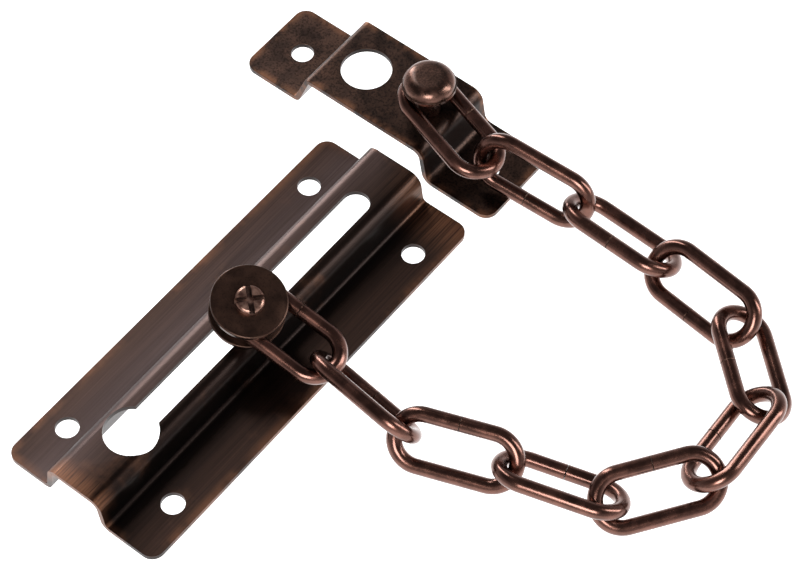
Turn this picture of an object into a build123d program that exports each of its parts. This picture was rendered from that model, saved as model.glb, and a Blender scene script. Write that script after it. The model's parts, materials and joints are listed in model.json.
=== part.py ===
from build123d import *
import os
from math import radians, tan

# A surface-mounted door chain guard: a slotted track for the door, a sliding button, eleven wire
# links, and a raised keeper for the frame that carries the last link on a rivet. Millimetres.
# The origin is the middle of the track's back face. +Z points off the door, +Y runs along the
# slot towards its plain end, and the keyhole is at the -Y end.

# ---------------------------------------------------------------- driving dimensions

SHEET = 1.2                      # thickness of both stamped plates
CORNER = 3.0                     # plan radius of every plate corner
SCREW_HOLE = 5.2                 # clearance hole for a No. 8 wood screw

TRACK_LENGTH = 104.8             # 4-1/8 in
TRACK_WIDTH = 41.3               # 1-5/8 in
TRACK_HEIGHT = 9.0               # top of the channel above the door
TRACK_HOLES_ALONG = 79.4         # 3-1/8 in between screw rows
TRACK_HOLES_ACROSS = 29.5
SLOT_WIDTH = 6.4
SLOT_END = 41.4                  # the plain end of the slot, on Y
KEYHOLE = 11.9                   # diameter of the round entry
KEYHOLE_Y = -35.1

KEEPER_LENGTH = 70.6
KEEPER_WIDTH = 21.6
KEEPER_HEIGHT = 10.2             # top of the bridge
KEEPER_LEFT = -48.5              # end of the left tab, on X
KEEPER_Y = 67.8                  # centre line of the keeper, on Y
KEEPER_HOLE_INSET = 8.5          # screw hole centre from either end
ACCESS_HOLE = 11.6               # round hole in the bridge
ACCESS_HOLE_X = -20.9
RIVET_X = -2.9

WIRE = 3.4                       # chain wire diameter
LINK_BEND = 5.7                  # radius of the wire's centre line round each end of a link
LINK_STRAIGHT = 15.1             # straight length of a link's sides
SEAM = 0.06                      # butt gap in the middle of one side of each link

SLIDER_Y = 1.4                   # where the slider stands in the slot
SLIDER_LEAN = 16.0               # degrees that the pulled slider leans off the vertical
SLIDER_LEAN_HEADING = -20.0      # degrees from +X towards which it leans
NECK = 4.4                       # diameter of the slider's neck
DISC = 16.5                      # diameter of the slider's cap and washer
FOOT = 9.0                       # diameter of the retaining disc under the channel
SCREW_HEAD = 6.4
SCREW_SHANK = 3.0

RIVET_HEAD = 12.1
RIVET_NECK = 5.2
RIVET_SHANK = 4.0

EDGE = 0.2                       # softened edge of the turned pieces
FIT = 0.05                       # gap all round a pin in its hole
THROUGH = 60.0                   # length of a tool that passes right through any piece


# ---------------------------------------------------------------- stamped plates

def hat_profile(left, right, height, left_wall, right_wall):
    """Cross-section, in X and Z, of a strip bent into a raised hat.

    Each wall is (X of its middle at half height, lean off the vertical in degrees, radius of the
    bend at its top, radius of the bend at its foot), all on the middle of the sheet.
    """
    low = SHEET / 2
    high = height - SHEET / 2
    left_x, left_lean, left_top, left_foot = left_wall
    right_x, right_lean, right_top, right_foot = right_wall
    left_run = (high - low) / 2 * tan(radians(left_lean))
    right_run = (high - low) / 2 * tan(radians(right_lean))
    middle = FilletPolyline(
        (left, low),
        (left_x - left_run, low),
        (left_x + left_run, high),
        (right_x - right_run, high),
        (right_x + right_run, low),
        (right, low),
        radius=(left_foot, left_top, right_top, right_foot),
    )
    return trace(middle, SHEET)


def bent_strip(profile, centre_y, width):
    """The hat profile pushed out along Y to make the plate."""
    plane = Plane((0, centre_y + width / 2, 0), x_dir=(1, 0, 0), z_dir=(0, -1, 0))
    return extrude(plane * profile, amount=width)


def plan_outline(x_middle, y_middle, x_size, y_size):
    """A tall block with rounded corners that trims a plate to its plan."""
    outline = Pos(x_middle, y_middle) * RectangleRounded(x_size, y_size, CORNER)
    return extrude(outline, amount=THROUGH, both=True)


def drill(diameter, x, y):
    """A long vertical cylinder that cuts a round hole."""
    return Pos(x, y) * Cylinder(diameter / 2, THROUGH)


def make_track_plate():
    profile = hat_profile(
        -TRACK_WIDTH / 2,
        TRACK_WIDTH / 2,
        TRACK_HEIGHT,
        left_wall=(-7.6, 9.0, 2.0, 1.6),
        right_wall=(6.6, 6.0, 2.6, 1.8),
    )
    plate = bent_strip(profile, 0, TRACK_LENGTH)
    plate &= plan_outline(0, 0, TRACK_WIDTH, TRACK_LENGTH)
    for side in (-1, 1):
        for end in (-1, 1):
            plate -= drill(SCREW_HOLE, side * TRACK_HOLES_ACROSS / 2, end * TRACK_HOLES_ALONG / 2)
    slot_far = SLOT_END - SLOT_WIDTH / 2
    slot_length = slot_far - KEYHOLE_Y
    slot_deep = 2 * (TRACK_HEIGHT - SHEET)
    slot = Pos(0, KEYHOLE_Y + slot_length / 2, TRACK_HEIGHT) * Box(SLOT_WIDTH, slot_length, slot_deep)
    slot += Pos(0, slot_far, TRACK_HEIGHT) * Cylinder(SLOT_WIDTH / 2, slot_deep)
    slot += Pos(0, KEYHOLE_Y, TRACK_HEIGHT) * Cylinder(KEYHOLE / 2, slot_deep)
    return plate - slot


def make_keeper_plate():
    right_end = KEEPER_LEFT + KEEPER_LENGTH
    middle = (KEEPER_LEFT + right_end) / 2
    profile = hat_profile(
        KEEPER_LEFT,
        right_end,
        KEEPER_HEIGHT,
        left_wall=(-31.1, 21.0, 1.1, 1.4),
        right_wall=(3.6, 8.0, 2.4, 2.4),
    )
    plate = bent_strip(profile, KEEPER_Y, KEEPER_WIDTH)
    plate &= plan_outline(middle, KEEPER_Y, KEEPER_LENGTH, KEEPER_WIDTH)
    for x in (KEEPER_LEFT + KEEPER_HOLE_INSET, right_end - KEEPER_HOLE_INSET):
        plate -= drill(SCREW_HOLE, x, KEEPER_Y)
    plate -= drill(ACCESS_HOLE, ACCESS_HOLE_X, KEEPER_Y)
    plate -= drill(RIVET_SHANK, RIVET_X, KEEPER_Y)
    return plate


# ---------------------------------------------------------------- slider button

# Heights up the slider's own leaning axis, measured from the middle of the channel's sheet.
WASHER_LOW = 2.5
WASHER_THICK = 1.1
CAP_THICK = 1.4
CAP_EDGE = 0.35
CAP_TOP = 9.4
CAP_LOW = CAP_TOP - CAP_THICK
FOOT_TOP = -2.5
FOOT_THICK = 1.2
HEAD_HIGH = 1.6
SCREW_TURNS = (-20, 70)          # degrees, the two bars of the cross slot


def stand_in_slot(piece):
    """Set a piece made on the slider's own axis into the slot, leaning as the chain pulls it."""
    seat = Pos(0, SLIDER_Y, TRACK_HEIGHT - SHEET / 2)
    return seat * Rot(0, 0, SLIDER_LEAN_HEADING) * Rot(0, SLIDER_LEAN, 0) * piece


def disc(diameter, low, thick, bore=0.0, edge=EDGE):
    """A turned disc with softened rims, standing on the given height of its axis."""
    body = Pos(0, 0, low + thick / 2) * Cylinder(diameter / 2, thick)
    body = fillet(body.edges(), edge)
    if bore:
        body -= Pos(0, 0, low + thick / 2) * Cylinder(bore / 2, 2 * thick)
    return body


def make_slider_foot():
    neck_length = CAP_LOW - FOOT_TOP
    body = disc(FOOT, FOOT_TOP - FOOT_THICK, FOOT_THICK)
    body += Pos(0, 0, FOOT_TOP + neck_length / 2) * Cylinder(NECK / 2, neck_length)
    thread_deep = CAP_LOW + 1.0
    body -= Pos(0, 0, CAP_LOW) * Cylinder(SCREW_SHANK / 2, 2 * thread_deep)
    return body


def make_slider_washer():
    return disc(DISC, WASHER_LOW, WASHER_THICK, bore=NECK + 2 * FIT)


def make_slider_cap():
    return disc(DISC, CAP_LOW, CAP_THICK, bore=SCREW_SHANK + 2 * FIT, edge=CAP_EDGE)


def make_slider_screw():
    """Pan head with a cross slot cut from rim to rim, and a plain shank."""
    slot_wide = 1.15
    slot_deep = 1.2
    crown = 0.8
    tip = 0.5
    shank_radius = SCREW_SHANK / 2 - FIT / 2
    shank_length = CAP_TOP - tip
    head = Pos(0, 0, CAP_TOP + HEAD_HIGH / 2) * Cylinder(SCREW_HEAD / 2, HEAD_HIGH)
    head = fillet(head.edges().sort_by(Axis.Z)[-1], crown)
    for turn in SCREW_TURNS:
        bar = Box(2 * SCREW_HEAD, slot_wide, 2 * slot_deep)
        head -= Pos(0, 0, CAP_TOP + HEAD_HIGH) * Rot(0, 0, turn) * bar
    shank = Pos(0, 0, CAP_TOP - shank_length / 2) * Cylinder(shank_radius, shank_length)
    return head + shank


# ---------------------------------------------------------------- keeper rivet

def make_keeper_rivet():
    """Mushroom head with a small flat, a rim band, a neck for the last link and a clenched tail."""
    head_low = 18.0
    head_top = 21.8
    flat = 2.6
    rim = RIVET_HEAD / 2
    rim_chamfer = 0.4
    rim_low = head_low + rim_chamfer
    rim_high = rim_low + 0.9
    dome = rim - 0.25
    under = KEEPER_HEIGHT - SHEET
    tail_low = under - 1.2
    neck = RIVET_NECK / 2
    shank = RIVET_SHANK / 2
    half_section = Polyline(
        (0, head_top),
        (0, tail_low),
        (neck, tail_low),
        (neck, under),
        (shank, under),
        (shank, KEEPER_HEIGHT),
        (neck, KEEPER_HEIGHT),
        (neck, head_low),
        (rim - rim_chamfer, head_low),
        (rim, rim_low),
        (rim, rim_high),
        (dome, rim_high),
    )
    crown_rise = head_top - rim_high
    half_section += EllipticalCenterArc((flat, rim_high), dome - flat, crown_rise, start_angle=0, arc_size=90)
    half_section += Line((flat, head_top), (0, head_top))
    section = Plane.XZ * make_face(half_section)
    return Pos(RIVET_X, KEEPER_Y) * revolve(section, Axis.Z)


# ---------------------------------------------------------------- chain

# How the chain lies, link by link from the slider: X, Y and Z of the link's centre, then in degrees
# the heading of its long axis from +X, the climb of that axis and the link's roll about it.
LAY = (
    (10.2, 2.2, 11.8, 4, -15, 3),
    (32.3, 1.8, 7.7, -5, -3, -57),
    (54.4, 3.9, 6.3, 20, 1, 48),
    (76.1, 11.1, 5.6, 19, -5, -32),
    (92.4, 22.4, 5.3, 54, 2, 34),
    (97.7, 41.8, 5.8, 92, 1, -35),
    (89.8, 59.7, 4.4, 139, 1, 25),
    (71.8, 67.3, 5.8, 174, 0, -43),
    (49.3, 69.0, 5.9, 180, 4, 31),
    (26.8, 67.0, 8.9, 189, 11, -71),
    (5.1, 65.5, 12.9, 168, 12, 189),
)


def make_link():
    """One wire link about its own centre, long along X, with a butt gap in its +Y side."""
    half = LINK_STRAIGHT / 2
    bend = LINK_BEND
    route = Line((SEAM / 2, bend), (half, bend))
    route += ThreePointArc((half, bend), (half + bend, 0), (half, -bend))
    route += Line((half, -bend), (-half, -bend))
    route += ThreePointArc((-half, -bend), (-half - bend, 0), (-half, bend))
    route += Line((-half, bend), (-SEAM / 2, bend))
    section = Plane((SEAM / 2, bend, 0), z_dir=(1, 0, 0)) * Circle(WIRE / 2)
    return sweep(section, path=route)


def lay_link(link, x, y, z, heading, climb, roll):
    return Pos(x, y, z) * Rot(0, 0, heading) * Rot(0, -climb, 0) * Rot(roll, 0, 0) * link


# ---------------------------------------------------------------- build and save

pieces = {
    "track_plate": make_track_plate(),
    "keeper_plate": make_keeper_plate(),
    "keeper_rivet": make_keeper_rivet(),
    "slider_foot": stand_in_slot(make_slider_foot()),
    "slider_washer": stand_in_slot(make_slider_washer()),
    "slider_cap": stand_in_slot(make_slider_cap()),
    "slider_screw": stand_in_slot(make_slider_screw()),
}
plain_link = make_link()
for number, place in enumerate(LAY, start=1):
    pieces[f"link_{number:02d}"] = lay_link(plain_link, *place)

os.makedirs("parts", exist_ok=True)
for name, piece in pieces.items():
    export_step(piece, f"parts/{name}.step")
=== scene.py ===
import json
from math import radians

import bmesh
import bpy
from mathutils import Matrix, Vector


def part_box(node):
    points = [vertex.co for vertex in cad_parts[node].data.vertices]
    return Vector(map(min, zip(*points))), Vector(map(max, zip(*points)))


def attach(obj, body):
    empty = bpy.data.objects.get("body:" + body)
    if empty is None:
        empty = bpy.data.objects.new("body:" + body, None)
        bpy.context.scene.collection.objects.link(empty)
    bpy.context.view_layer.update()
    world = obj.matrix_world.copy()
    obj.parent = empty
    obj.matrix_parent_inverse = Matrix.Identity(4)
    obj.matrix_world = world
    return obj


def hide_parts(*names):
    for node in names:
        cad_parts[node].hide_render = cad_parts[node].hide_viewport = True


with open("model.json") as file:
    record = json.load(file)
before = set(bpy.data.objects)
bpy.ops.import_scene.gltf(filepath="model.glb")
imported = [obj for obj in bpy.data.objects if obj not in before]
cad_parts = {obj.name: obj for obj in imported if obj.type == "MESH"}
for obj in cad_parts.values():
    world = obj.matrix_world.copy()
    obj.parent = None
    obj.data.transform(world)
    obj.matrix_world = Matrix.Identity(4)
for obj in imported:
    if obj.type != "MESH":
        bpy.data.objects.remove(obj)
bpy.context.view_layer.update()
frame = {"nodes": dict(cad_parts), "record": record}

nodes = frame["nodes"]
groups = frame["record"]["behaviour"]["bodies"]
body_of = {node: body for body, members in groups.items() for node in members}
slot_of = {entry["node"]: entry["material_slot"] for entry in frame["record"]["subparts"]}
track_low, track_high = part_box("track_plate")
keeper_low, keeper_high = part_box("keeper_plate")
rivet_low, rivet_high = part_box("keeper_rivet")

MM = 0.001

# ---------------------------------------------------------------- finish colours, linear RGB

BRONZE_DEEP_AND_SHADE = (0.012, 0.008, 0.007, 1)      # the darkest plating, also painted as shade in recesses, on walls and across the channel
BRONZE = (0.045, 0.027, 0.021, 1)           # the usual dark plating
BRONZE_WARM = (0.090, 0.048, 0.034, 1)      # thinner, redder plating
SHEEN_LILAC = (0.100, 0.078, 0.080, 1)            # a paler lilac grey, painted on as sheen where the flats catch the light
COPPER = (0.270, 0.120, 0.065, 1)           # bare copper at worn edges
ROSE = (0.185, 0.092, 0.068, 1)             # the pinker copper of handled, rounded pieces
COPPER_PALE = (0.500, 0.300, 0.230, 1)      # rubbed bright
CHAIN_DARK = (0.105, 0.048, 0.035, 1)       # the wire, in its darker places
CHAIN_WARM = (0.185, 0.084, 0.062, 1)       # and where it is redder


# ---------------------------------------------------------------- shader helpers

class Graph:
    """A material being built, with short ways to add and join nodes.

    Places are the piece's own coordinates in metres, so a noise's scale is in features per metre.
    """

    def __init__(self, name, metallic=1.0):
        self.material = bpy.data.materials.new(name)
        self.material.use_nodes = True
        self.tree = self.material.node_tree
        self.shader = self.tree.nodes["Principled BSDF"]
        self.shader.inputs["Metallic"].default_value = metallic
        self.place = self.add("ShaderNodeTexCoord").outputs["Object"]

    def add(self, kind, **inputs):
        node = self.tree.nodes.new(kind)
        for key, value in inputs.items():
            self.put(node.inputs[key.replace("_", " ")], value)
        return node

    def put(self, socket, value):
        """Join another node's output to a socket, or set the socket itself."""
        if isinstance(value, bpy.types.NodeSocket):
            self.tree.links.new(value, socket)
        else:
            socket.default_value = value

    def stretched(self, x, y, z):
        """Object coordinates scaled by x, y and z, so a small number makes long features."""
        mapping = self.add("ShaderNodeMapping", Vector=self.place)
        mapping.inputs["Scale"].default_value = (x, y, z)
        return mapping.outputs["Vector"]

    def noise(self, scale, detail=4.0, rough=0.55, at=None, twist=0.0):
        node = self.add("ShaderNodeTexNoise", Vector=at or self.place, Scale=scale, Detail=detail)
        node.inputs["Roughness"].default_value = rough
        node.inputs["Distortion"].default_value = twist
        return node.outputs["Fac"]

    def span(self, value, low, high, out_low=0.0, out_high=1.0):
        """Map low..high of a value smoothly on to out_low..out_high."""
        node = self.add("ShaderNodeMapRange", Value=value)
        node.interpolation_type = "SMOOTHSTEP"
        node.inputs["From Min"].default_value = low
        node.inputs["From Max"].default_value = high
        node.inputs["To Min"].default_value = out_low
        node.inputs["To Max"].default_value = out_high
        return node.outputs["Result"]

    def maths(self, operation, a, b=0.0):
        node = self.tree.nodes.new("ShaderNodeMath")
        node.operation = operation
        self.put(node.inputs[0], a)
        self.put(node.inputs[1], b)
        return node.outputs["Value"]

    def mix(self, amount, a, b):
        """Color a where amount is 0, and color b where it is 1."""
        color_a, color_b, result = 6, 7, 2
        node = self.tree.nodes.new("ShaderNodeMix")
        node.data_type = "RGBA"
        self.put(node.inputs["Factor"], amount)
        self.put(node.inputs[color_a], a)
        self.put(node.inputs[color_b], b)
        return node.outputs[result]

    def axis(self, letter):
        """One object coordinate, in metres."""
        split = self.add("ShaderNodeSeparateXYZ", Vector=self.place)
        return split.outputs[letter]

    def across(self, *stops):
        """A value that goes from stop to stop along X, each stop a place in mm and a value."""
        first = stops[0][0]
        last = stops[-1][0]
        share = self.add("ShaderNodeMapRange", Value=self.axis("X"))
        share.inputs["From Min"].default_value = first * MM
        share.inputs["From Max"].default_value = last * MM
        ramp = self.add("ShaderNodeValToRGB", Fac=share.outputs["Result"])
        elements = ramp.color_ramp.elements
        while len(elements) < len(stops):
            elements.new(0.5)
        for element, (x, value) in zip(elements, stops):
            element.position = (x - first) / (last - first)
            element.color = (value, value, value, 1)
        return ramp.outputs["Color"]

    def lacquer(self, weight, roughness):
        """A clear coat over the metal, which gives it its paler gleams."""
        self.shader.inputs["Coat Weight"].default_value = weight
        self.shader.inputs["Coat Roughness"].default_value = roughness

    def steep(self):
        """1 on surfaces that stand up, 0 on flat ones, whichever way they face."""
        facing = self.add("ShaderNodeTexCoord").outputs["Normal"]
        upward = self.maths("ABSOLUTE", self.add("ShaderNodeSeparateXYZ", Vector=facing).outputs["Z"])
        return self.span(upward, 0.30, 0.85, 1.0, 0.0)

    def rim(self, low, high, width):
        """1 at the edges of a box seen from above, 0 from width metres inside them."""
        gaps = []
        for letter, first, last in (("X", low.x, high.x), ("Y", low.y, high.y)):
            offset = self.maths("SUBTRACT", self.axis(letter), (first + last) / 2)
            gaps.append(self.maths("SUBTRACT", self.maths("ABSOLUTE", offset), (last - first) / 2))
        return self.span(self.maths("MAXIMUM", *gaps), -width, 0.0)

    def bump(self, height, strength, distance, under=None):
        """Relief of the given depth in metres, laid over another relief if there is one."""
        node = self.add("ShaderNodeBump", Height=height)
        node.inputs["Strength"].default_value = strength
        node.inputs["Distance"].default_value = distance
        if under is not None:
            self.put(node.inputs["Normal"], under)
        return node.outputs["Normal"]

    def paint_recess_shade(self, color, reach, strength):
        """Painted shade: darken the color where the piece shuts in its own surface within reach metres.
        """
        open_air = self.add("ShaderNodeAmbientOcclusion", Distance=reach)
        open_air.only_local = True
        open_air.samples = 8
        hidden = self.span(open_air.outputs["AO"], 0.25, 0.95, strength, 0.0)
        return self.mix(hidden, color, BRONZE_DEEP_AND_SHADE)

    def done(self, color, roughness, normal=None):
        self.put(self.shader.inputs["Base Color"], color)
        self.put(self.shader.inputs["Roughness"], roughness)
        if normal is not None:
            self.put(self.shader.inputs["Normal"], normal)
        return self.material


# ---------------------------------------------------------------- materials

def track_material():
    """Dark plating, brushed along Y, with a painted sheen to the left, painted shade on the right and
    copper at the rims and two corners.
    """
    g = Graph("track_bronze")
    g.lacquer(0.10, 0.25)
    streaks = g.noise(1.0, 6, 0.7, at=g.stretched(2600, 30, 2600))
    broad = g.noise(1.0, 3, 0.5, at=g.stretched(260, 12, 260))
    cloud = g.noise(70, 5, 0.6)

    color = g.mix(g.span(streaks, 0.25, 0.75), BRONZE, BRONZE_WARM)
    color = g.mix(g.span(broad, 0.40, 0.70, 0.0, 0.45), color, BRONZE_DEEP_AND_SHADE)
    # Painted sheen: a paler lilac laid on across X, strongest by the left bend, where the flats catch the
    # light.
    sheen = g.across((-20, 0.1), (-11, 0.65), (-7, 0.45), (-3, 0.4), (3, 0.1), (12, 0.0), (20, 0.1))
    color = g.mix(g.maths("MULTIPLY", sheen, g.span(streaks, 0.15, 0.75, 0.4, 1.0)), color, SHEEN_LILAC)
    # Painted shade across X, deepest by the channel's right wall.
    shade = g.across((-20, 0.1), (-6, 0.0), (1, 0.4), (5, 0.8), (9, 0.95), (12, 0.6), (20, 0.25))
    color = g.mix(shade, color, BRONZE_DEEP_AND_SHADE)
    # Painted shade on the steep walls.
    color = g.mix(g.maths("MULTIPLY", g.steep(), 0.85), color, BRONZE_DEEP_AND_SHADE)

    # Rubbed copper: the crown at the keyhole end, the far right corner, the rims and odd patches.
    far_end = g.span(g.axis("Y"), track_high.y - 12 * MM, track_high.y)
    near_end = g.span(g.axis("Y"), track_low.y, track_low.y + 6 * MM, 1.0, 0.0)
    crown = g.maths("MULTIPLY", g.span(g.axis("Z"), 4 * MM, 7 * MM), near_end)
    corner = g.maths("MULTIPLY", g.span(g.axis("X"), -1 * MM, 14 * MM), far_end)
    ends = g.maths("MULTIPLY", g.maths("MAXIMUM", crown, corner), g.span(streaks, 0.3, 0.62))
    rim = g.maths("MULTIPLY", g.rim(track_low, track_high, 2.5 * MM), g.span(cloud, 0.42, 0.62, 0.0, 0.6))
    patches = g.span(cloud, 0.58, 0.8, 0.0, 0.35)
    worn = g.maths("MAXIMUM", g.maths("MAXIMUM", ends, rim), patches)
    color = g.mix(g.maths("MULTIPLY", worn, 0.8), color, COPPER)
    # Painted shade in the track's own recesses.
    color = g.paint_recess_shade(color, 8 * MM, 0.8)

    rough = g.span(streaks, 0.25, 0.75, 0.32, 0.42)
    normal = g.bump(streaks, 0.14, 0.05 * MM)
    normal = g.bump(cloud, 0.08, 0.2 * MM, normal)
    return g.done(color, rough, normal)


def keeper_material():
    """Mottled, slightly grainy plating, with painted shade on the walls and on the bridge towards the
    rivet.
    """
    g = Graph("keeper_bronze")
    g.lacquer(0.10, 0.28)
    grain = g.noise(1900, 4, 0.65)
    cloud = g.noise(190, 6, 0.62, twist=0.5)
    broad = g.noise(60, 4, 0.5)

    color = g.mix(g.span(cloud, 0.36, 0.66, 0.0, 0.7), BRONZE, BRONZE_WARM)
    color = g.mix(g.span(broad, 0.50, 0.80, 0.0, 0.2), color, COPPER)
    color = g.mix(g.span(grain, 0.46, 0.62, 0.0, 0.7), color, BRONZE_DEEP_AND_SHADE)
    # Painted shade on the raised bridge, stronger towards the rivet.
    right = g.span(g.axis("X"), keeper_low.x + 30 * MM, keeper_low.x + 50 * MM, 0.1, 0.35)
    raised = g.span(g.axis("Z"), 1 * MM, 3 * MM)
    color = g.mix(g.maths("MULTIPLY", right, raised), color, BRONZE_DEEP_AND_SHADE)
    # Painted shade on the steep walls.
    color = g.mix(g.maths("MULTIPLY", g.steep(), 0.9), color, BRONZE_DEEP_AND_SHADE)
    rim = g.rim(keeper_low, keeper_high, 2.2 * MM)
    color = g.mix(g.maths("MULTIPLY", rim, g.span(cloud, 0.40, 0.60, 0.0, 0.55)), color, COPPER)
    # Painted shade in the keeper's own recesses.
    color = g.paint_recess_shade(color, 8 * MM, 0.45)

    rough = g.span(cloud, 0.3, 0.7, 0.30, 0.46)
    normal = g.bump(grain, 0.25, 0.05 * MM)
    normal = g.bump(cloud, 0.10, 0.2 * MM, normal)
    return g.done(color, rough, normal)


def turned_material():
    """Dark plating with a fine grain, for the slider's discs."""
    g = Graph("slider_bronze")
    g.lacquer(0.10, 0.28)
    cloud = g.noise(240, 5, 0.6)
    grain = g.noise(2600, 3, 0.6)
    color = g.mix(g.span(cloud, 0.30, 0.65, 0.4, 1.0), BRONZE, BRONZE_WARM)
    color = g.mix(g.span(grain, 0.5, 0.75, 0.0, 0.5), color, BRONZE_DEEP_AND_SHADE)
    # Painted shade in the discs' own recesses.
    color = g.paint_recess_shade(color, 4 * MM, 0.9)
    rough = g.span(cloud, 0.3, 0.7, 0.32, 0.44)
    normal = g.bump(grain, 0.25, 0.04 * MM)
    return g.done(color, rough, normal)


def screw_material():
    """Plating rubbed a little brighter by the driver."""
    g = Graph("screw_bronze")
    g.lacquer(0.25, 0.22)
    cloud = g.noise(700, 5, 0.6)
    color = g.mix(g.span(cloud, 0.3, 0.7), ROSE, COPPER_PALE)
    # Painted shade in the screw's own recesses, such as its cross slot.
    color = g.paint_recess_shade(color, 1.6 * MM, 1.0)
    rough = g.span(cloud, 0.3, 0.7, 0.28, 0.42)
    return g.done(color, rough, g.bump(cloud, 0.15, 0.06 * MM))


def rivet_material():
    """A rubbed, copper-bright dome with a rougher, darker flat on top."""
    g = Graph("rivet_bronze")
    g.lacquer(0.25, 0.22)
    cloud = g.noise(420, 6, 0.65)
    grain = g.noise(2200, 4, 0.6)
    color = g.mix(g.span(cloud, 0.3, 0.68), BRONZE_WARM, ROSE)
    color = g.mix(g.span(grain, 0.50, 0.72, 0.0, 0.5), color, BRONZE)
    flat = g.span(g.axis("Z"), rivet_high.z - 0.4 * MM, rivet_high.z)
    color = g.mix(g.maths("MULTIPLY", flat, g.span(grain, 0.35, 0.6, 0.4, 0.9)), color, BRONZE)
    # Painted shade in the rivet's own recesses.
    color = g.paint_recess_shade(color, 8 * MM, 1.0)
    rough = g.span(cloud, 0.3, 0.7, 0.20, 0.36)
    rough = g.maths("ADD", rough, g.maths("MULTIPLY", flat, 0.15))
    normal = g.bump(grain, 0.20, 0.06 * MM)
    return g.done(color, rough, g.bump(cloud, 0.15, 0.1 * MM, normal))


def chain_material():
    """Smooth drawn wire, plated a redder brown."""
    g = Graph("chain_bronze")
    g.lacquer(0.35, 0.14)
    cloud = g.noise(260, 5, 0.6)
    fine = g.noise(1500, 4, 0.6)
    color = g.mix(g.span(cloud, 0.30, 0.72), CHAIN_DARK, CHAIN_WARM)
    color = g.mix(g.span(fine, 0.56, 0.78, 0.0, 0.35), color, ROSE)
    # Painted shade in each link's own recesses.
    color = g.paint_recess_shade(color, 5 * MM, 0.4)
    rough = g.span(cloud, 0.3, 0.7, 0.20, 0.30)
    normal = g.bump(fine, 0.06, 0.04 * MM)
    return g.done(color, rough, g.bump(cloud, 0.05, 0.1 * MM, normal))


def edge_material():
    """Copper rubbed bare along the softened edges."""
    g = Graph("worn_copper")
    patch = g.noise(330, 5, 0.65)
    color = g.mix(g.span(patch, 0.34, 0.66), BRONZE, BRONZE_WARM)
    color = g.mix(g.span(patch, 0.5, 0.8, 0.0, 0.5), color, COPPER_PALE)
    rough = g.span(patch, 0.3, 0.7, 0.28, 0.46)
    return g.done(color, rough, g.bump(patch, 0.15, 0.1 * MM))


finishes = {
    "track_finish": track_material(),
    "keeper_finish": keeper_material(),
    "slider_finish": turned_material(),
    "screw_finish": screw_material(),
    "rivet_finish": rivet_material(),
    "chain_finish": chain_material(),
}
worn_edge = edge_material()


# ---------------------------------------------------------------- refined pieces

SHARP = radians(35.0)             # bends gentler than this stay smooth, and get no rubbed edge
SAME_POINT = 0.001 * MM
SAME_PLANE = radians(0.4)
PLATE_EDGE = 0.22 * MM            # how far the edges of each kind of piece are rubbed round
SCREW_EDGE = 0.12 * MM
FINE_EDGE = 0.1 * MM
edge_widths = {
    "track_plate": PLATE_EDGE,
    "keeper_plate": PLATE_EDGE,
    "slider_screw": SCREW_EDGE,
}


def clean_faces(mesh):
    """Join the triangles of each flat face, and mark which edges are sharp."""
    shape = bmesh.new()
    shape.from_mesh(mesh)
    bmesh.ops.remove_doubles(shape, verts=shape.verts, dist=SAME_POINT)
    bmesh.ops.dissolve_limit(shape, angle_limit=SAME_PLANE, verts=shape.verts, edges=shape.edges)
    for face in shape.faces:
        face.smooth = True
        face.material_index = 0
    for edge in shape.edges:
        edge.smooth = edge.calc_face_angle(0.0) < SHARP
    shape.to_mesh(mesh)
    shape.free()


def round_edges(piece, width):
    """Round the sharp edges in copper, the second material of the piece."""
    bevel = piece.modifiers.new("edges", "BEVEL")
    bevel.width = width
    bevel.segments = 3
    bevel.limit_method = "ANGLE"
    bevel.angle_limit = SHARP
    bevel.material = 1


def refine(node):
    """Stand a copy in for a CAD node, with flat faces cleaned and its sharp edges rounded."""
    mesh = nodes[node].data.copy()
    mesh.name = node + "_fine"
    clean_faces(mesh)
    mesh.materials.clear()
    mesh.materials.append(finishes[slot_of[node]])
    mesh.materials.append(worn_edge)
    piece = bpy.data.objects.new("fine_" + node, mesh)
    bpy.context.scene.collection.objects.link(piece)
    round_edges(piece, edge_widths.get(node, FINE_EDGE))
    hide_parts(node)
    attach(piece, body_of[node])


for name in nodes:
    refine(name)


# ---------------------------------------------------------------- stage, light and camera

def floor_material():
    """White, and giving off some light of its own, so that it stays pale under the guard."""
    g = Graph("pale_floor", metallic=0.0)
    g.shader.inputs["Emission Color"].default_value = (1, 1, 1, 1)
    g.shader.inputs["Emission Strength"].default_value = 0.8
    return g.done(g.mix(g.noise(9, 3, 0.5), (0.93, 0.93, 0.93, 1), (0.90, 0.90, 0.90, 1)), 0.9)


def make_floor():
    """Far enough down that the chain clears it when a joint swings the chain below the track."""
    size = 3.0
    drop = 0.14
    height = track_low.z - drop
    mesh = bpy.data.meshes.new("floor")
    corners = [(-size, -size, height), (size, -size, height), (size, size, height), (-size, size, height)]
    mesh.from_pydata(corners, [], [(0, 1, 2, 3)])
    floor = bpy.data.objects.new("floor", mesh)
    bpy.context.scene.collection.objects.link(floor)
    mesh.materials.append(floor_material())


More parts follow.
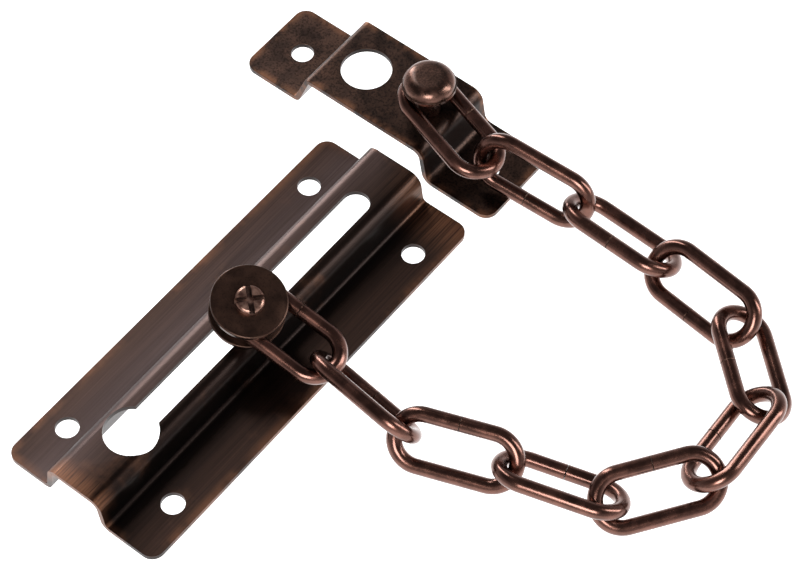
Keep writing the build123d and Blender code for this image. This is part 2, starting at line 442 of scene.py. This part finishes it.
def area_light(name, place, aim, width, depth, power):
    """A soft box at a place, turned to the aim, with its size in metres and power in watts."""
    data = bpy.data.lights.new(name, "AREA")
    data.shape = "RECTANGLE"
    data.size = width
    data.size_y = depth
    data.energy = power
    light = bpy.data.objects.new(name, data)
    light.location = place
    light.rotation_euler = (Vector(aim) - Vector(place)).to_track_quat("-Z", "Y").to_euler()
    bpy.context.scene.collection.objects.link(light)


def make_world():
    """A soft surround for the metal to mirror, pale at the horizon and dim overhead."""
    world = bpy.data.worlds.new("studio")
    world.use_nodes = True
    tree = world.node_tree
    background = tree.nodes["Background"]
    place = tree.nodes.new("ShaderNodeTexCoord")
    split = tree.nodes.new("ShaderNodeSeparateXYZ")
    ramp = tree.nodes.new("ShaderNodeValToRGB")
    tree.links.new(place.outputs["Generated"], split.inputs["Vector"])
    tree.links.new(split.outputs["Z"], ramp.inputs["Fac"])
    tree.links.new(ramp.outputs["Color"], background.inputs["Color"])
    horizon, overhead = ramp.color_ramp.elements
    horizon.position = 0.05
    horizon.color = (0.95, 0.93, 0.95, 1)
    overhead.position = 0.60
    overhead.color = (0.14, 0.13, 0.135, 1)
    background.inputs["Strength"].default_value = 0.8
    bpy.context.scene.world = world


def make_lights():
    """A strip for the gleam on the left bends, a key from the camera's side, and a weak one behind."""
    middle = (0.02, 0.03, 0.0)
    area_light("strip_left", (-0.75, 0.40, 0.50), middle, 0.16, 0.9, 5)
    area_light("key_front", (0.55, -0.75, 0.75), middle, 0.5, 0.5, 10)
    area_light("back_right", (0.65, 0.55, 0.45), middle, 0.2, 0.7, 4)


def make_camera():
    """Above the track's near right corner, looking at the middle of the lying guard."""
    place = Vector((0.2344, -0.2294, 0.5047))
    aim = Vector((0.0180, 0.0310, 0.0))
    roll = radians(-1.3)
    data = bpy.data.cameras.new("camera")
    data.sensor_width = 36.0
    data.lens = 126.3
    data.clip_start = 0.01
    data.clip_end = 20.0
    camera = bpy.data.objects.new("camera", data)
    turn = (aim - place).to_track_quat("-Z", "Y").to_matrix() @ Matrix.Rotation(roll, 3, "Z")
    camera.matrix_world = Matrix.Translation(place) @ turn.to_4x4()
    bpy.context.scene.collection.objects.link(camera)
    bpy.context.scene.camera = camera


make_floor()
make_world()
make_lights()
make_camera()
bpy.context.scene.view_settings.view_transform = "Standard"
